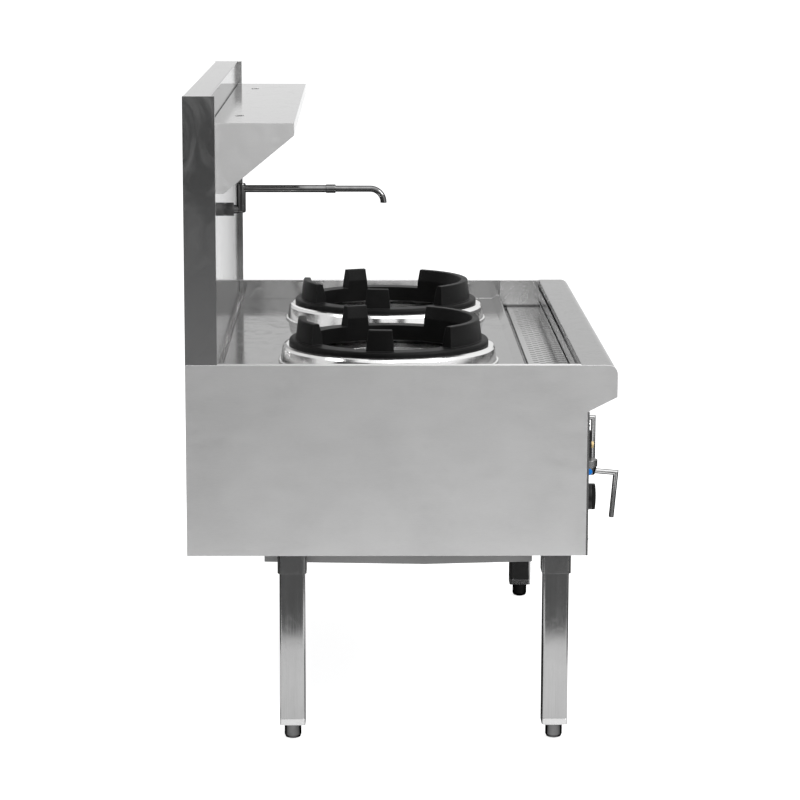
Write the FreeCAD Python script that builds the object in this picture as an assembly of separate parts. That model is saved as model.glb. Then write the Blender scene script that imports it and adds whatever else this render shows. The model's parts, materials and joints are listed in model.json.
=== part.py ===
"""Two-burner gas wok range: sunk worktop, high splashback with a shelf, swing tap, four legs.

+X runs to the right as the cook sees it, -Y is the front and +Z is up. The origin is on the
floor under the middle of the range. Lengths are millimetres, angles are degrees.
"""
import FreeCAD
import Part
import math
import os

V = FreeCAD.Vector

# ---- cabinet -------------------------------------------------------------------------------------
body_width = 1200.0
body_depth = 800.0
rim_height = 728.0
panel_rise = 361.0
sheet = 1.5
thin_sheet = 1.2
seam = 0.3
fold = 1.5
nose_radius = 17.0
nose_face = 60.0
nose_setback = 55.0
undercut_rise = 28.0
rail_depth = 67.0
rim_lip = 12.0
rim_flange = 15.0
fascia_proud = 4.0
floor_flange = 40.0
screw_radius = 4.5
screw_height = 3.0
screw_inset = 25.0
screw_edge = 28.0

# ---- worktop, gutter and strainer ----------------------------------------------------------------
deck_drop = 41.0
deck_sheet = 2.0
gutter_width = 90.0
deck_lip_rise = 10.0
deck_lip_run = 19.0
strainer_drop = 59.0
strainer_gap = 14.0
strainer_end_gap = 2.2
strainer_lip = 10.0
slot_length = 10.0
slot_width = 5.0
slot_pitch = 25.2
slot_column_pitch = 12.6
slot_columns = 5
slot_edge = 13.0
slot_end_margin = 16.0
gutter_depth = 27.5
gutter_front_rise = 34.0
rear_ledge = 10.0
front_ledge = 5.0
rebate_depth = 3.0
rebate_run = 11.0

# ---- splashback and shelf ------------------------------------------------------------------------
splash_rise = 494.5
splash_depth = 50.0
cove_run = 8.0
cove_rise = 10.0
post_proud = 9.0
post_width = 10.0
shelf_drop = 49.5
shelf_reach = 153.0
shelf_lip = 22.5
shelf_end_height = 129.0
shelf_end_foot = 23.5
shelf_slot_inset = 185.0
shelf_slot_reach = 46.0
shelf_slot_length = 30.0
shelf_slot_width = 15.0

# ---- burners -------------------------------------------------------------------------------------
burner_inset = 314.0
burner_forward = 38.7
collar_base_radius = 216.0
collar_lean = 9.0
collar_shoulder = 8.0
collar_bead = 4.0
collar_sheet = 2.0
seat_rise = 34.0
seat_inner_radius = 172.0
ring_flange_radius = 195.3
ring_flange_thickness = 11.0
ring_edge_round = 5.0
ring_bore_radius = 158.0
ring_skirt_depth = 19.0
ring_skirt_clearance = 4.0
ring_skirt_taper = 4.0
lug_rise = 40.0
lug_foot_radius = 182.5
lug_top_radius = 177.0
lug_top_thickness = 13.5
lug_chamfer_rise = 24.0
lug_edge_round = 2.0
lug_end_taper = 5.0
long_lug_span = 113.0
long_lug_turn = 6.5
back_lug_span = 43.0
back_lug_turn = 194.0
short_lug_span = 17.0
right_lug_turn = 112.5
left_lug_turn = 264.0
well_radius = 172.0
well_flange = 14.0
well_flange_thickness = 3.0
well_lining = 16.0
well_depth = 110.0
well_skirt = 40.0
well_throat_radius = 104.0
well_floor = 4.0
feed_hole_clearance = 1.0
air_hole_radius = 14.0
air_hole_count = 6
head_radius = 62.0
head_height = 34.0
head_dome = 14.0
head_flat_radius = 46.0
head_edge_round = 3.0
jet_flats = 9.0
jet_height = 30.0
jet_ring_step = 18.0
jet_rings = 2

# ---- gas controls --------------------------------------------------------------------------------
arm_rise = 98.5
valve_head_gap = 9.0
valve_head_height = 13.0
valve_head_width = 34.0
valve_neck_width = 28.0
lever_axis_proud = 27.0
spindle_radius = 4.0
spindle_reach = 17.0
turn_clearance = 0.05
hub_radius = 15.0
hub_foot_radius = 12.0
hub_height = 22.0
hub_band = 4.0
rod_radius = 5.0
rod_reach = 59.0
rod_drop = 88.0
rod_bend = 11.0
left_rod_droop = 6.0
index_radius = 6.0
index_proud = 1.5
index_length = 7.0
valve_body_width = 44.0
valve_body_height = 48.0
valve_body_depth = 42.0
knob_offset = 150.0
knob_rise = 78.0
knob_radius = 25.0
knob_length = 28.0
knob_gap = 1.0
knob_edge_round = 5.0
knob_bar_width = 12.0
knob_bar_depth = 9.0
knob_bore_depth = 16.0
pilot_body_radius = 15.0
pilot_body_depth = 48.0
pilot_tube_radius = 3.0
pilot_tip_radius = 5.0
pilot_tip_length = 12.0
manifold_gap = 4.0
manifold_inset = 34.0
manifold_radius = 11.0
manifold_overhang = 20.0
gas_inlet_radius = 13.2
gas_inlet_offset = 111.0
branch_radius = 9.0
feed_radius = 9.0
feed_drop = 10.0
pipe_hole_clearance = 1.0

# ---- water ---------------------------------------------------------------------------------------
water_offset = 130.0
water_rise = 125.0
cock_width = 32.0
cock_depth = 34.0
cock_boss_radius = 9.0
cock_boss_proud = 18.0
handle_length = 58.0
handle_width = 12.0
handle_thickness = 5.0
handle_proud = 38.0
handle_boss_radius = 8.0
handle_corner = 4.0
nut_flats = 13.0
nut_height = 4.0
water_pipe_radius = 6.0
water_inlet_radius = 10.5
water_inlet_inset = 240.0
water_turn_inset = 70.0
nipple_length = 39.0
nipple_gap = 1.0
tap_pipe_offset = 60.0
tap_rise = 255.4
tap_stand_off = 43.0
union_flats = 24.4
union_nut_length = 11.5
union_nut_gap = 1.0
union_length = 29.0
union_core_radius = 10.5
arm_root_radius = 8.5
arm_radius = 6.5
riser_radius = 8.8
riser_base_rise = 9.0
stem_radius = 6.0
sleeve_height = 37.0
spout_rise = 40.0
spout_radius = 7.0
spout_run = 164.5
spout_collar_radius = 8.2
spout_collar_length = 18.5
spout_tip_radius = 6.0
spout_tip_wall = 1.2
spout_reach = 276.0
spout_bend = 26.0
spout_drop = 27.0
cap_height = 4.0
cap_round = 2.0
drain_inset = 120.0
drain_radius = 14.5
drain_nozzle_radius = 16.0
drain_wall = 1.5
drain_fall = 121.5

# ---- stand ---------------------------------------------------------------------------------------
leg_size = 48.0
leg_wall = 2.0
leg_corner = 5.0
leg_inset = 52.0
leg_back_left_inset = 195.0
leg_back_right_inset = 168.0
leg_front_inset = 107.0
socket_wall = 3.5
socket_drop = 41.0
socket_cap = 2.0
foot_height = 30.0
foot_radius = 16.0
foot_round = 7.0
foot_stem_radius = 6.0
foot_stem_length = 40.0
plug_band = 12.0
plug_spigot = 30.0
angle_size = 40.0
angle_wall = 3.0
pan_inset = 95.0
pan_front_inset = 149.0
pan_back_inset = 141.0
pan_depth = 34.0
pan_valley = 5.0
pan_valley_run = 204.0
pan_flange = 30.0

# ---- levels and planes that follow from the sizes above ------------------------------------------
half_width = body_width / 2
inner_half = half_width - sheet
back_y = body_depth / 2
front_y = -back_y
panel_base = rim_height - panel_rise
floor_top = panel_base + sheet
fascia_y = front_y + nose_setback
fascia_face = fascia_y - fascia_proud
fascia_back = fascia_face + sheet + seam
fascia_top = rim_height - nose_face - undercut_rise
rail_back_y = front_y + rail_depth
splash_y = back_y - splash_depth
splash_top = rim_height + splash_rise
splash_half = half_width - post_width
post_face = splash_y - post_proud
lip_half = half_width - rim_flange
tray_half = lip_half - seam
deck_z = rim_height - deck_drop
deck_back_y = splash_y - cove_run
deck_front_y = rail_back_y + gutter_width
deck_edge_z = deck_z + deck_lip_rise
strainer_z = rim_height - strainer_drop
ledge_z = strainer_z - sheet
apron_foot_z = ledge_z + seam
rebate_z = ledge_z - rebate_depth
gutter_floor_z = ledge_z - gutter_depth
gutter_front_z = strainer_z + gutter_front_rise
gutter_back = deck_front_y + deck_sheet + seam
gutter_front = rail_back_y - sheet - seam
strainer_back = deck_front_y - strainer_gap
strainer_front = rail_back_y + seam
strainer_half = tray_half - sheet - strainer_end_gap
shelf_z = splash_top - shelf_drop
shelf_front = splash_y - shelf_reach
shelf_back = splash_y - seam
shelf_half = splash_half - seam - sheet
shelf_slot_x = splash_half - shelf_slot_inset
burner_xs = (burner_inset - half_width, half_width - burner_inset)
burner_y = (deck_front_y + deck_lip_run + deck_back_y) / 2 - burner_forward
collar_top_radius = collar_base_radius - collar_lean
seat_z = deck_z + seat_rise
ring_top_z = seat_z + ring_flange_thickness
ring_skirt_radius = seat_inner_radius - ring_skirt_clearance
lug_top_z = ring_top_z + lug_rise
well_top_z = deck_z - deck_sheet
well_base_z = well_top_z - well_depth
well_bore_radius = well_radius - well_lining
head_base_z = well_base_z + well_floor
head_top_z = head_base_z + head_height
air_hole_circle = (head_radius + well_throat_radius) / 2
manifold_height = well_base_z - manifold_gap - manifold_radius
arm_height = panel_base + arm_rise
knob_height = panel_base + knob_rise
water_height = panel_base + water_rise
tap_height = rim_height + tap_rise
gas_inlet_x = burner_xs[1] - gas_inlet_offset
water_inlet_x = half_width - water_inlet_inset
drain_x = half_width - drain_inset
lever_y = fascia_face - lever_axis_proud
valve_head_z = arm_height + valve_head_gap
valve_middle_z = valve_head_z + valve_head_height / 2
feed_z = valve_head_z - feed_drop
manifold_y = fascia_y + manifold_inset
knob_xs = tuple(x - knob_offset for x in burner_xs)
water_x = burner_xs[0] + water_offset
handle_y = fascia_face - handle_proud
riser_y = splash_y + splash_depth / 2
nipple_y = back_y + nipple_gap
nipple_end_y = nipple_y + nipple_length
tap_x = burner_xs[0]
tap_y = splash_y - tap_stand_off
sleeve_base_z = tap_height + riser_base_rise + seam
sleeve_top_z = sleeve_base_z + sleeve_height
spout_z = tap_height + spout_rise
drain_y = (gutter_back + gutter_front) / 2
drain_z = gutter_floor_z - drain_fall
leg_x = half_width - leg_inset
leg_front_y = front_y + leg_front_inset
leg_back_left_y = back_y - leg_back_left_inset
leg_back_right_y = back_y - leg_back_right_inset
socket_size = leg_size + 2 * socket_wall
leg_top_z = panel_base - socket_cap
pan_base_z = panel_base - pan_depth
pan_reach = half_width - pan_inset
pan_front_y = front_y + pan_front_inset
pan_back_y = back_y - pan_back_inset
pan_valley_y = pan_front_y + pan_valley_run
leg_places = ((-leg_x, leg_front_y, "front_left"), (leg_x, leg_front_y, "front_right"),
              (-leg_x, leg_back_left_y, "back_left"), (leg_x, leg_back_right_y, "back_right"))


# ---- building blocks -----------------------------------------------------------------------------
def box(x0, x1, y0, y1, z0, z1):
    return Part.makeBox(x1 - x0, y1 - y0, z1 - z0, V(x0, y0, z0))


def rod(radius, start, end):
    run = end - start
    return Part.makeCylinder(radius, run.Length, start, run)


def face_of(corners):
    """Flat face in the XY plane through (u, v) or (u, v, fillet radius) corners."""
    count = len(corners)
    points = [V(corner[0], corner[1], 0) for corner in corners]
    joints = []
    for i, corner in enumerate(corners):
        here = points[i]
        to_before = (points[i - 1] - here).normalize()
        to_after = (points[(i + 1) % count] - here).normalize()
        radius = corner[2] if len(corner) > 2 else 0
        if radius <= 0:
            joints.append((here, None, here))
            continue
        half = to_before.getAngle(to_after) / 2
        reach = radius / math.tan(half)
        centre = here + (to_before + to_after).normalize() * (radius / math.sin(half))
        crown = centre + (here - centre).normalize() * radius
        joints.append((here + to_before * reach, crown, here + to_after * reach))
    edges = []
    for i, (start, crown, end) in enumerate(joints):
        if crown is not None:
            edges.append(Part.Arc(start, crown, end).toShape())
        following = joints[(i + 1) % count][0]
        if (following - end).Length > 1e-6:
            edges.append(Part.LineSegment(end, following).toShape())
    return Part.Face(Part.Wire(edges))


def eased(corners):
    """Corners of a turned profile, with each fillet drawn as two chords through its crown."""
    count = len(corners)
    points = [V(corner[0], corner[1], 0) for corner in corners]
    outline = []
    for i, corner in enumerate(corners):
        here = points[i]
        if len(corner) < 3:
            outline.append((here.x, here.y))
            continue
        to_before = (points[i - 1] - here).normalize()
        to_after = (points[(i + 1) % count] - here).normalize()
        half = to_before.getAngle(to_after) / 2
        reach = corner[2] / math.tan(half)
        crown = here + (to_before + to_after).normalize() * (corner[2] / math.sin(half) - corner[2])
        for point in (here + to_before * reach, crown, here + to_after * reach):
            outline.append((point.x, point.y))
    return outline


def prism_x(corners, x0, x1):
    """Outline in (Y, Z), extruded along X."""
    face = face_of(corners)
    face.Placement = FreeCAD.Placement(V(x0, 0, 0), FreeCAD.Rotation(V(0, 1, 0), V(0, 0, 1), V(1, 0, 0)))
    return face.extrude(V(x1 - x0, 0, 0))


def prism_y(corners, y0, y1):
    """Outline in (X, Z), extruded along Y."""
    face = face_of(corners)
    face.Placement = FreeCAD.Placement(V(0, y0, 0), FreeCAD.Rotation(V(1, 0, 0), 90))
    return face.extrude(V(0, y1 - y0, 0))


def prism_z(corners, z0, z1):
    """Outline in (X, Y), extruded along Z."""
    face = face_of(corners)
    face.translate(V(0, 0, z0))
    return face.extrude(V(0, 0, z1 - z0))


def rectangle(u, v, width, height, radius):
    """Corners of a rectangle centred on (u, v)."""
    half_u = width / 2
    half_v = height / 2
    return [(u - half_u, v - half_v, radius), (u + half_u, v - half_v, radius),
            (u + half_u, v + half_v, radius), (u - half_u, v + half_v, radius)]


def folded(path, thickness):
    """Outline of a folded sheet: (u, v) or (u, v, outer radius) path, thickness to its left."""
    points = [V(corner[0], corner[1], 0) for corner in path]
    runs = [(b - a).normalize() for a, b in zip(points, points[1:])]
    near = []
    far = []
    for i, here in enumerate(points):
        first = runs[max(i - 1, 0)]
        second = runs[min(i, len(runs) - 1)]
        middle = (V(-first.y, first.x, 0) + V(-second.y, second.x, 0)).normalize()
        inside = here + middle * (thickness / middle.dot(V(-first.y, first.x, 0)))
        turn = first.cross(second).z
        outer = path[i][2] if len(path[i]) > 2 else fold + thickness
        near_radius = 0
        far_radius = 0
        if turn > 1e-6:
            near_radius, far_radius = outer, outer - thickness
        elif turn < -1e-6:
            near_radius, far_radius = outer - thickness, outer
        near.append((here.x, here.y, near_radius))
        far.append((inside.x, inside.y, far_radius))
    return near + far[::-1]


def turned(profile, centre):
    """(radius, height) profile turned about the vertical axis through centre."""
    face = face_of(eased(profile))
    face.Placement = FreeCAD.Placement(V(0, 0, 0), FreeCAD.Rotation(V(1, 0, 0), 90))
    solid = face.revolve(V(0, 0, 0), V(0, 0, 1), 360)
    solid.translate(centre)
    return solid


def turned_forward(profile, start):
    """(radius, reach) profile turned about the axis that runs from start towards the cook."""
    solid = turned(profile, V(0, 0, 0))
    solid.Placement = FreeCAD.Placement(start, FreeCAD.Rotation(V(1, 0, 0), 90))
    return solid


def hexagon(flats, start, end):
    """Hexagonal bar between two points."""
    run = end - start
    corner = flats / math.sqrt(3)
    turns = [math.radians(60 * k) for k in range(6)]
    face = face_of([(corner * math.cos(turn), corner * math.sin(turn)) for turn in turns])
    face.Placement = FreeCAD.Placement(start, FreeCAD.Rotation(V(0, 0, 1), run))
    return face.extrude(run)


def mitred(points, radius):
    """Round bar through the points, with a mitre at each corner."""
    circle = Part.Wire(Part.makeCircle(radius, points[0], points[1] - points[0]))
    return Part.makePolygon(points).makePipeShell([circle], True, False, 1)


def pipe(points, radius, bend):
    """Round bar through the points, with an arc at each corner."""
    edges = []
    start = points[0]
    for before, here, after in zip(points, points[1:], points[2:]):
        to_before = (before - here).normalize()
        to_after = (after - here).normalize()
        half = to_before.getAngle(to_after) / 2
        reach = bend / math.tan(half)
        centre = here + (to_before + to_after).normalize() * (bend / math.sin(half))
        crown = centre + (here - centre).normalize() * bend
        edges.append(Part.LineSegment(start, here + to_before * reach).toShape())
        edges.append(Part.Arc(here + to_before * reach, crown, here + to_after * reach).toShape())
        start = here + to_after * reach
    edges.append(Part.LineSegment(start, points[-1]).toShape())
    circle = Part.Wire(Part.makeCircle(radius, points[0], points[1] - points[0]))
    return Part.Wire(edges).makePipeShell([circle], True, False)


def mirror_pair(left):
    """A left-hand piece and its mirror image."""
    return left, left.mirror(V(0, 0, 0), V(1, 0, 0))


def save(name, *shapes):
    """Write one node: its solids, each cleaned of leftover seams."""
    solids = [solid.removeSplitter() for shape in shapes for solid in shape.Solids]
    node = solids[0] if len(solids) == 1 else Part.makeCompound(solids)
    node.exportStep("parts/" + name + ".step")


# ---- cabinet -------------------------------------------------------------------------------------
def side_panel():
    """Left-hand panel: outer sheet, lipped flange under the rim, flange at the foot."""
    panel = prism_x([(back_y, panel_base), (back_y, rim_height), (front_y, rim_height, nose_radius),
                     (front_y, rim_height - nose_face), (fascia_y, fascia_top), (fascia_y, panel_base)],
                    -half_width, -inner_half)
    near = strainer_front
    far = splash_y - seam
    flange = box(-half_width, -lip_half, near, far, rim_height - sheet, rim_height)
    lip = box(-lip_half - sheet, -lip_half, near, far, rim_height - rim_lip, rim_height)
    foot = box(-half_width, -half_width + floor_flange, fascia_y, back_y - sheet - seam,
               panel_base, floor_top)
    return panel.fuse([flange, lip, foot])


def back_panel():
    """Rear sheet between the side panels, with a foot flange and the pipe entries."""
    panel = box(-inner_half, inner_half, back_y - sheet, back_y, panel_base, rim_height - sheet)
    foot_half = half_width - floor_flange - seam
    foot = box(-foot_half, foot_half, back_y - floor_flange, back_y, panel_base, floor_top)
    entries = ((manifold_radius, gas_inlet_x, manifold_height), (drain_radius, drain_x, drain_z),
               (water_pipe_radius, water_inlet_x, water_height))
    holes = [rod(radius + pipe_hole_clearance, V(x, back_y - 2 * sheet, z), V(x, back_y + sheet, z))
             for radius, x, z in entries]
    return panel.fuse(foot).cut(holes)


def front_rail():
    """Rounded nose along the front, folded in under itself and down behind the gutter."""
    path = [(rail_back_y, rim_height - rim_lip), (rail_back_y, rim_height),
            (front_y, rim_height, nose_radius), (front_y, rim_height - nose_face),
            (fascia_y, fascia_top + seam)]
    return prism_x(folded(path, sheet), -inner_half, inner_half)


def control_panel():
    """Tray-shaped front with openings for the valves and knob spindles."""
    half = half_width - sheet / 2
    tray = box(-half, half, fascia_face, fascia_y, panel_base, fascia_top)
    hollow = box(-half + sheet, half - sheet, fascia_face + sheet, fascia_y,
                 panel_base + sheet, fascia_top - sheet)
    near = fascia_face - sheet
    far = fascia_y + sheet
    holes = []
    for x in burner_xs:
        neck = rectangle(x, valve_middle_z, valve_neck_width + 2 * seam, valve_head_height + 2 * seam, 0)
        holes.append(prism_y(neck, near, far))
    for x in knob_xs:
        holes.append(rod(spindle_radius + pipe_hole_clearance, V(x, near, knob_height),
                         V(x, far, knob_height)))
    holes.append(rod(cock_boss_radius + seam, V(water_x, near, water_height), V(water_x, far, water_height)))
    return tray.cut([hollow] + holes)


def panel_screws():
    """Domed screw heads in the corners of the control panel."""
    screws = []
    for x in (-half_width + screw_inset, half_width - screw_inset):
        for z in (panel_base + screw_edge, fascia_top - screw_edge):
            profile = [(0, 0), (screw_radius, 0), (screw_radius, screw_height, screw_height / 2),
                       (0, screw_height)]
            screws.append(turned_forward(profile, V(x, fascia_face, z)))
    return screws


# ---- worktop, gutter and strainer ----------------------------------------------------------------
def deck():
    """Sunk worktop: side upstands, a raised front lip that drops to the gutter, two burner holes."""
    path = [(deck_back_y, deck_z), (deck_front_y + deck_lip_run, deck_z), (deck_front_y, deck_edge_z),
            (deck_front_y, apron_foot_z)]
    base = prism_x(folded(path, deck_sheet), -tray_half, tray_half)
    walls = [box(x0, x1, deck_front_y, splash_y - seam, deck_z - deck_sheet, rim_height)
             for x0, x1 in ((-tray_half, -tray_half + sheet), (tray_half - sheet, tray_half))]
    holes = [rod(well_bore_radius, V(x, burner_y, deck_z - 2 * deck_sheet),
                 V(x, burner_y, deck_z + deck_sheet)) for x in burner_xs]
    return base.fuse(walls).cut(holes)


def gutter_trough():
    """Channel with a rebate and a ledge for the strainer, end walls and a drain hole."""
    step = deck_front_y - rear_ledge
    rebate_end = step - rebate_run
    foot_front = gutter_front + front_ledge
    path = [(gutter_back, well_top_z - seam), (gutter_back, ledge_z), (step, ledge_z), (step, rebate_z),
            (rebate_end, rebate_z), (rebate_end, gutter_floor_z), (foot_front, gutter_floor_z),
            (foot_front, ledge_z), (gutter_front, ledge_z), (gutter_front, gutter_front_z)]
    channel = prism_x(folded([(u, v, thin_sheet + seam) for u, v in path], thin_sheet), -tray_half, tray_half)
    outer_front = gutter_front - thin_sheet
    outer_back = gutter_back + thin_sheet
    underside = gutter_floor_z - thin_sheet
    wall = [(deck_front_y - seam, rim_height), (strainer_front, rim_height), (strainer_front, gutter_front_z),
            (outer_front, gutter_front_z), (outer_front, underside), (outer_back, underside),
            (outer_back, ledge_z), (deck_front_y - seam, ledge_z)]
    ends = [prism_x(wall, x, x + sheet) for x in (-tray_half, tray_half - sheet)]
    outlet = rod(drain_radius - drain_wall, V(drain_x, drain_y, underside - sheet),
                 V(drain_x, drain_y, gutter_floor_z + sheet))
    return channel.fuse(ends).cut(outlet)


def strainer_plate():
    """Lift-out plate: lip up at the front, flange down at the back, slots set like brickwork."""
    path = [(strainer_back, rebate_z), (strainer_back, strainer_z),
            (strainer_front + sheet, strainer_z, sheet), (strainer_front + sheet, strainer_z + strainer_lip)]
    plate = prism_x(folded(path, sheet), -strainer_half, strainer_half)
    rows = int(2 * (strainer_half - slot_end_margin) / slot_pitch)
    slots = []
    for column in range(slot_columns):
        y = strainer_back - slot_edge - column * slot_column_pitch
        stagger = slot_pitch / 4 * (-1) ** column
        for row in range(rows):
            x = (row - (rows - 1) / 2) * slot_pitch + stagger
            slots.append(box(x - slot_width / 2, x + slot_width / 2, y - slot_length, y,
                             strainer_z - 2 * sheet, strainer_z + sheet))
    return plate.cut(slots)


# ---- splashback and shelf ------------------------------------------------------------------------
def splash_panel():
    """One folded sheet: up the back, over the top, down the face, and out in a cove at its foot."""
    path = [(back_y, rim_height), (back_y, splash_top), (splash_y, splash_top),
            (splash_y, deck_z + cove_rise), (deck_back_y + seam, deck_z + seam)]
    shell = prism_x(folded(path, sheet), -splash_half, splash_half)
    foot_half = tray_half - sheet - seam
    notches = [box(x0, x1, deck_back_y - sheet, splash_y + 2 * sheet, deck_z - 2 * sheet, rim_height)
               for x0, x1 in ((-half_width, -foot_half), (foot_half, half_width))]
    hole = rod(water_pipe_radius + pipe_hole_clearance, V(tap_x, splash_y - sheet, tap_height),
               V(tap_x, splash_y + 2 * sheet, tap_height))
    return shell.cut(notches + [hole])


def splash_end():
    """Left-hand end post: box section, capped at the top and open at its foot."""
    post = box(-half_width, -splash_half, post_face, back_y, rim_height, splash_top)
    hollow = box(-half_width + sheet, -splash_half - sheet, post_face + sheet, back_y - sheet,
                 rim_height, splash_top - sheet)
    return post.cut(hollow)


def shelf_top():
    """Shelf with lips folded down at the front and back, and a slot near each end."""
    path = [(shelf_back, shelf_z - shelf_lip), (shelf_back, shelf_z), (shelf_front, shelf_z),
            (shelf_front, shelf_z - shelf_lip)]
    plate = prism_x(folded(path, sheet), -shelf_half, shelf_half)
    slots = []
    for x in (-shelf_slot_x, shelf_slot_x):
        slot = rectangle(x, splash_y - shelf_slot_reach, shelf_slot_length, shelf_slot_width,
                         shelf_slot_width / 3)
        slots.append(prism_z(slot, shelf_z - 2 * sheet, shelf_z + sheet))
    return plate.cut(slots)


def shelf_end():
    """Left-hand end of the shelf, tapering back to the splashback."""
    outline = [(shelf_back, shelf_z), (shelf_front, shelf_z, fold), (shelf_front, shelf_z - shelf_lip, fold),
               (shelf_back - shelf_end_foot, shelf_z - shelf_end_height, 2 * fold),
               (shelf_back, shelf_z - shelf_end_height)]
    return prism_x(outline, -shelf_half - sheet, -shelf_half)


# ---- burners -------------------------------------------------------------------------------------
def burner_collar(x):
    """Spun surround: bead at the worktop, leaning wall, rolled shoulder, flat seat for the ring."""
    wall_foot = collar_base_radius - collar_bead
    return turned([(collar_base_radius, deck_z), (collar_base_radius, deck_z + collar_bead, collar_bead / 2),
                   (wall_foot, deck_z + collar_bead), (collar_top_radius, seat_z, collar_shoulder),
                   (seat_inner_radius, seat_z), (seat_inner_radius, seat_z - collar_sheet),
                   (collar_top_radius - collar_sheet, seat_z - collar_sheet, collar_shoulder - collar_sheet),
                   (wall_foot - collar_sheet, deck_z)], V(x, burner_y, 0))


def lug(turn, span):
    """Upright lug: leaning outer face, chamfered inner face, ends that taper upwards."""
    crest = lug_top_radius - lug_top_thickness
    face = face_of(eased([(ring_bore_radius, seat_z), (lug_foot_radius, seat_z),
                          (lug_foot_radius, ring_top_z), (lug_top_radius, lug_top_z, lug_edge_round),
                          (crest, lug_top_z, lug_edge_round),
                          (ring_bore_radius, lug_top_z - lug_chamfer_rise)]))
    face.Placement = FreeCAD.Placement(V(0, 0, 0), FreeCAD.Rotation(V(1, 0, 0), 90))
    face.rotate(V(0, 0, 0), V(0, 0, 1), turn - 90 - span / 2)
    solid = face.revolve(V(0, 0, 0), V(0, 0, 1), span)
    cutters = []
    for end in (-1, 1):
        wedge = Part.makeBox(2 * lug_rise, lug_rise, 2 * lug_rise, V(ring_bore_radius - lug_rise / 2, 0, 0))
        wedge.rotate(V(0, 0, 0), V(1, 0, 0), lug_end_taper)
        if end < 0:
            wedge = wedge.mirror(V(0, 0, 0), V(0, 1, 0))
        wedge.translate(V(0, 0, ring_top_z))
        wedge.rotate(V(0, 0, 0), V(0, 0, 1), turn - 90 + end * span / 2)
        cutters.append(wedge)
    return solid.cut(cutters)


def wok_ring(x):
    """Cast ring: flange on the collar, skirt down inside it, a long front lug and three more."""
    skirt_z = seat_z - ring_skirt_depth
    body = turned([(ring_flange_radius, seat_z), (ring_flange_radius, ring_top_z, ring_edge_round),
                   (ring_bore_radius, ring_top_z), (ring_bore_radius, skirt_z),
                   (ring_skirt_radius - ring_skirt_taper, skirt_z), (ring_skirt_radius, seat_z)], V(0, 0, 0))
    places = ((long_lug_turn, long_lug_span), (back_lug_turn, back_lug_span),
              (right_lug_turn, short_lug_span), (left_lug_turn, short_lug_span))
    lugs = [lug(turn, span) for turn, span in places]
    ring = body.fuse(lugs)
    ring.translate(V(x, burner_y, 0))
    return ring


def air_holes(x):
    """Centres of the air holes round the burner head."""
    turns = [math.radians(360 / air_hole_count * (k + 0.5)) for k in range(air_hole_count)]
    middle = V(x, burner_y, 0)
    return [middle + V(math.cos(turn), math.sin(turn), 0) * air_hole_circle for turn in turns]


def combustion_well(x):
    """Lined fire pot under the worktop, with air holes and the feed hole in its floor."""
    feed_hole = feed_radius + feed_hole_clearance
    rim = well_radius + well_flange
    pot = turned([(rim, well_top_z), (well_bore_radius, well_top_z), (well_throat_radius, head_top_z),
                  (well_throat_radius, head_base_z), (feed_hole, head_base_z), (feed_hole, well_base_z),
                  (well_throat_radius + well_lining, well_base_z), (well_radius, well_top_z - well_skirt),
                  (well_radius, well_top_z - well_flange_thickness),
                  (rim, well_top_z - well_flange_thickness)], V(x, burner_y, 0))
    holes = [rod(air_hole_radius, at + V(0, 0, well_base_z - well_floor),
                 at + V(0, 0, head_base_z + well_floor)) for at in air_holes(x)]
    return pot.cut(holes)


def burner_head(x):
    """Cast jet carrier with a domed rim."""
    return turned([(0, head_base_z), (head_radius, head_base_z),
                   (head_radius, head_top_z - head_dome, head_edge_round),
                   (head_flat_radius, head_top_z, head_edge_round), (0, head_top_z)], V(x, burner_y, 0))


def burner_jets(x):
    """Hexagonal jets: one in the middle, then rings of six more each."""
    middle = V(x, burner_y, head_top_z)
    places = [middle]
    for ring in range(1, jet_rings + 1):
        for k in range(6 * ring):
            turn = math.radians(60 * k / ring)
            places.append(middle + V(math.cos(turn), math.sin(turn), 0) * (ring * jet_ring_step))
    return [hexagon(jet_flats, place, place + V(0, 0, jet_height)) for place in places]


def pilot_burner(x):
    """Thin tube from the pilot valve, up through an air hole, with a tip beside the jets."""
    hole = air_holes(x)[air_hole_count // 2]
    valve_x = x - knob_offset
    tip = V(hole.x, hole.y, head_top_z)
    route = [V(valve_x, fascia_back + pilot_body_depth, knob_height), V(valve_x, hole.y, knob_height),
             V(hole.x, hole.y, knob_height), tip]
    tube = mitred(route, pilot_tube_radius)
    return tube.fuse(rod(pilot_tip_radius, tip, tip + V(0, 0, pilot_tip_length)))


# ---- gas controls --------------------------------------------------------------------------------
def branch(x, z):
    """Pipe from a valve up to the manifold, saddled on it."""
    riser = rod(branch_radius, V(x, manifold_y, z), V(x, manifold_y, manifold_height))
    return riser.cut(rod(manifold_radius, V(x - manifold_radius, manifold_y, manifold_height),
                         V(x + manifold_radius, manifold_y, manifold_height)))


def lever_valve(x):
    """Gas valve: rounded head in front of the panel, body behind it, spindle below the head."""
    half = valve_head_width / 2
    neck = valve_neck_width / 2
    face = fascia_face - seam
    nose = lever_y - half
    head = prism_z([(x - neck, fascia_back), (x - neck, face), (x - half, face),
                    (x - half, nose, half - seam), (x + half, nose, half - seam), (x + half, face),
                    (x + neck, face), (x + neck, fascia_back)],
                   valve_head_z, valve_head_z + valve_head_height)
    body = box(x - valve_body_width / 2, x + valve_body_width / 2,
               fascia_back, fascia_back + valve_body_depth,
               valve_middle_z - valve_body_height / 2, valve_middle_z + valve_body_height / 2)
    spindle = rod(spindle_radius, V(x, lever_y, valve_head_z - spindle_reach),
                  V(x, lever_y, valve_head_z + sheet))
    return head.fuse([body, branch(x, valve_middle_z), spindle])


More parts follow.
